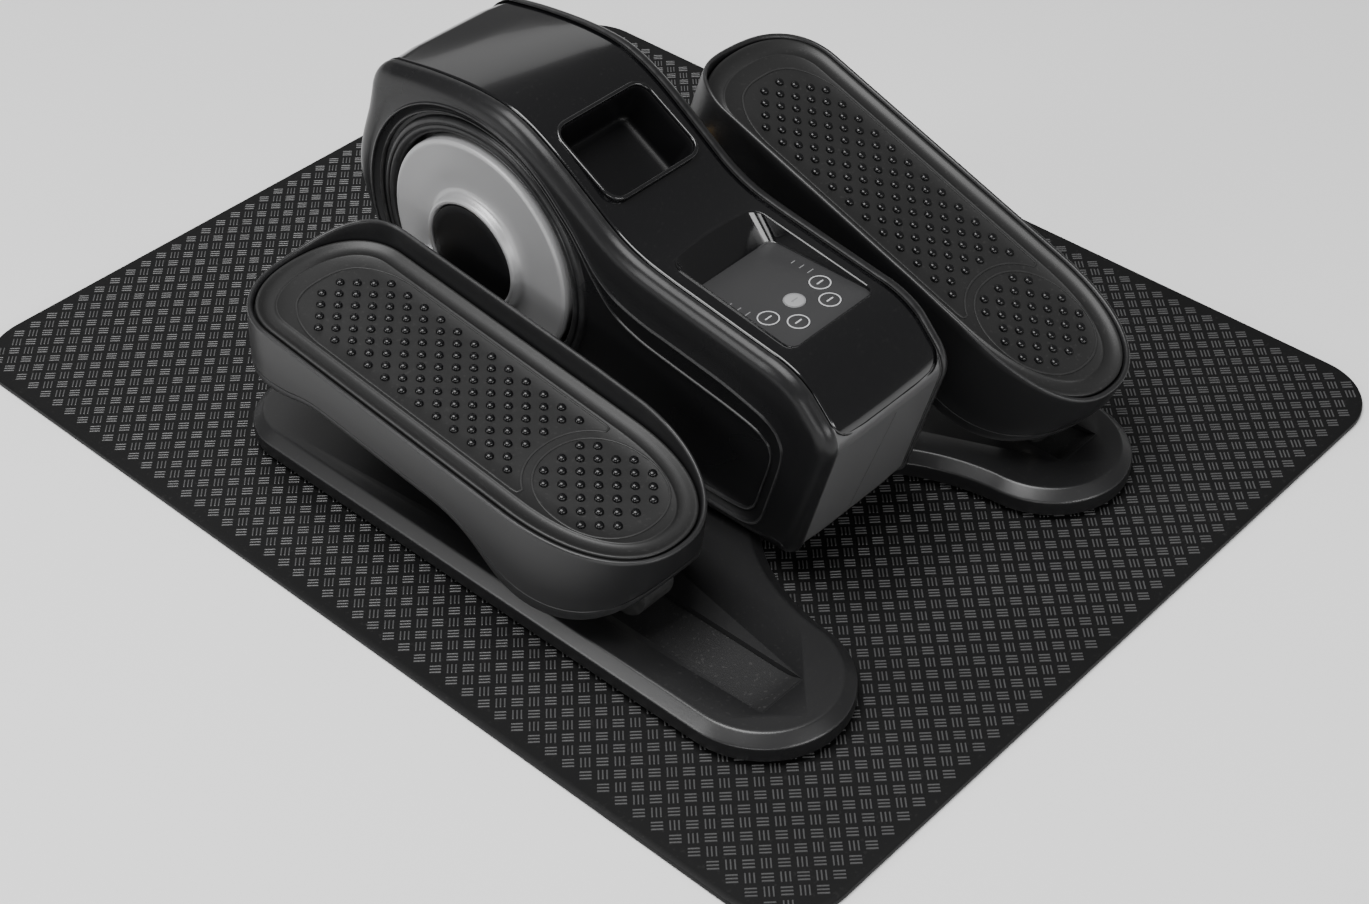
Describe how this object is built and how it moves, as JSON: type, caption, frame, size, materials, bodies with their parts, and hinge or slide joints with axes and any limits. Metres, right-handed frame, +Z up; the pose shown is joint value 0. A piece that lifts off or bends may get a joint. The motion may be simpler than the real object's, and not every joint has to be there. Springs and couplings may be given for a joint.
{
  "type": "pedal exerciser",
  "caption": "Motorised seated pedal exerciser: a black housing with a crank disc on each side, long studded pedals that roll on a lobed base, and a textured floor mat.",
  "frame": {"origin": "on the mat's underside, below the middle of the machine's base", "axes": "+X to the right of a seated user, +Y away from the user towards the toes, +Z up"},
  "size_m": [0.603, 0.733, 0.2401],
  "materials": {
    "mat_rubber": "matt black rubber with a raised bar pattern",
    "satin_black": "satin black moulded plastic",
    "gloss_black": "high-gloss black plastic",
    "dark_grey": "satin dark-grey plastic",
    "matt_black": "matt black plastic film",
    "key_grey": "light grey key cap",
    "black_rubber": "matt black rubber",
    "satin_grey": "satin silver-grey paint",
    "steel": "turned steel",
    "black_steel": "black powder coat",
    "bronze": "sintered bronze",
    "nylon": "natural nylon",
    "circuit": "green circuit board"
  },
  "bodies": {
    "chassis": {"floor_mat": "mat_rubber", "base_plate": "satin_black", "foot_front_left": "black_rubber", "foot_rear_left": "black_rubber", "foot_front_right": "black_rubber", "foot_rear_right": "black_rubber", "left_shell": "satin_black", "right_shell": "satin_black", "top_cover": "gloss_black", "front_panel": "dark_grey", "rear_panel": "satin_black", "handle_cup": "gloss_black", "control_fascia": "matt_black", "key_board": "circuit", "driver_board": "circuit", "power_inlet": "matt_black", "frame_plate_left": "black_steel", "frame_plate_right": "black_steel", "shaft_bearing_left": "steel", "shaft_bearing_right": "steel", "speed_sensor": "circuit", "drive_belt": "black_rubber", "motor_gearbox": "steel", "motor_can": "black_steel", "idler_pin": "steel"},
    "crank": {"crank_shaft": "steel", "drive_pulley": "nylon", "sensor_magnet": "steel", "crank_disc_left": "satin_grey", "hub_cap_left": "satin_black", "crank_pin_left": "steel", "crank_disc_right": "satin_grey", "hub_cap_right": "satin_black", "crank_pin_right": "steel"},
    "motor_pulley": {"motor_pulley": "steel"},
    "idler": {"idler_wheel": "nylon"},
    "key_1": {"key_1": "matt_black"},
    "key_2": {"key_2": "key_grey"},
    "key_3": {"key_3": "matt_black"},
    "key_4": {"key_4": "matt_black"},
    "key_5": {"key_5": "matt_black"},
    "left_carriage": {"roller_axle_left": "steel"},
    "left_pedal": {"pedal_shell_left": "satin_black", "footbed_left": "black_rubber", "pivot_block_left": "matt_black", "pivot_bush_left": "bronze", "stub_axle_left": "steel", "roller_bracket_left": "black_steel"},
    "left_roller": {"roller_hub_left": "nylon", "roller_tyre_left": "black_rubber"},
    "right_carriage": {"roller_axle_right": "steel"},
    "right_pedal": {"pedal_shell_right": "satin_black", "footbed_right": "black_rubber", "pivot_block_right": "matt_black", "pivot_bush_right": "bronze", "stub_axle_right": "steel", "roller_bracket_right": "black_steel"},
    "right_roller": {"roller_hub_right": "nylon", "roller_tyre_right": "black_rubber"}
  },
  "joints": [
    {"name": "crank_spin", "type": "hinge", "parent": "chassis", "child": "crank", "pos_m": [0, 0.1224, 0.1298], "axis": [1, 0, 0], "continuous": true},
    {"name": "motor_pulley_spin", "type": "hinge", "parent": "chassis", "child": "motor_pulley", "pos_m": [-0.014, 0.002, 0.096], "axis": [1, 0, 0], "continuous": true},
    {"name": "idler_spin", "type": "hinge", "parent": "chassis", "child": "idler", "pos_m": [-0.014, 0.03856, 0.06882], "axis": [1, 0, 0], "continuous": true},
    {"name": "left_stride", "type": "slide", "parent": "chassis", "child": "left_carriage", "axis": [0, 1, 0], "range_m": [-0.1, 0.015]},
    {"name": "left_pitch", "type": "hinge", "parent": "left_carriage", "child": "left_pedal", "pos_m": [-0.14, -0.08098, 0.0425], "axis": [1, 0, 0], "range_deg": [-6, 19]},
    {"name": "left_roll", "type": "hinge", "parent": "left_carriage", "child": "left_roller", "pos_m": [-0.14, -0.08098, 0.0425], "axis": [1, 0, 0], "continuous": true},
    {"name": "right_stride", "type": "slide", "parent": "chassis", "child": "right_carriage", "axis": [0, 1, 0], "range_m": [-0.015, 0.1]},
    {"name": "right_pitch", "type": "hinge", "parent": "right_carriage", "child": "right_pedal", "pos_m": [0.14, -0.16232, 0.0425], "axis": [1, 0, 0], "range_deg": [-19, 6]},
    {"name": "right_roll", "type": "hinge", "parent": "right_carriage", "child": "right_roller", "pos_m": [0.14, -0.16232, 0.0425], "axis": [1, 0, 0], "continuous": true},
    {"name": "key_1_press", "type": "slide", "parent": "chassis", "child": "key_1", "axis": [0, 0, -1], "range_m": [0, 0.0004], "stiffness_N_per_m": 300, "springref_m": -0.0002},
    {"name": "key_2_press", "type": "slide", "parent": "chassis", "child": "key_2", "axis": [0, 0, -1], "range_m": [0, 0.0004], "stiffness_N_per_m": 300, "springref_m": -0.0002},
    {"name": "key_3_press", "type": "slide", "parent": "chassis", "child": "key_3", "axis": [0, 0, -1], "range_m": [0, 0.0004], "stiffness_N_per_m": 300, "springref_m": -0.0002},
    {"name": "key_4_press", "type": "slide", "parent": "chassis", "child": "key_4", "axis": [0, 0, -1], "range_m": [0, 0.0004], "stiffness_N_per_m": 300, "springref_m": -0.0002},
    {"name": "key_5_press", "type": "slide", "parent": "chassis", "child": "key_5", "axis": [0, 0, -1], "range_m": [0, 0.0004], "stiffness_N_per_m": 300, "springref_m": -0.0002}
  ],
  "couplings": [
    {"joint": "motor_pulley_spin", "follows": "crank_spin", "ratio": 6.2},
    {"joint": "idler_spin", "follows": "crank_spin", "ratio": -6.8889},
    {"joint": "right_stride", "follows": "left_stride", "ratio": -1},
    {"joint": "right_pitch", "follows": "left_pitch", "ratio": -1},
    {"joint": "left_roll", "follows": "left_stride", "rad_per_m": -45.455},
    {"joint": "right_roll", "follows": "left_stride", "rad_per_m": 45.455}
  ]
}
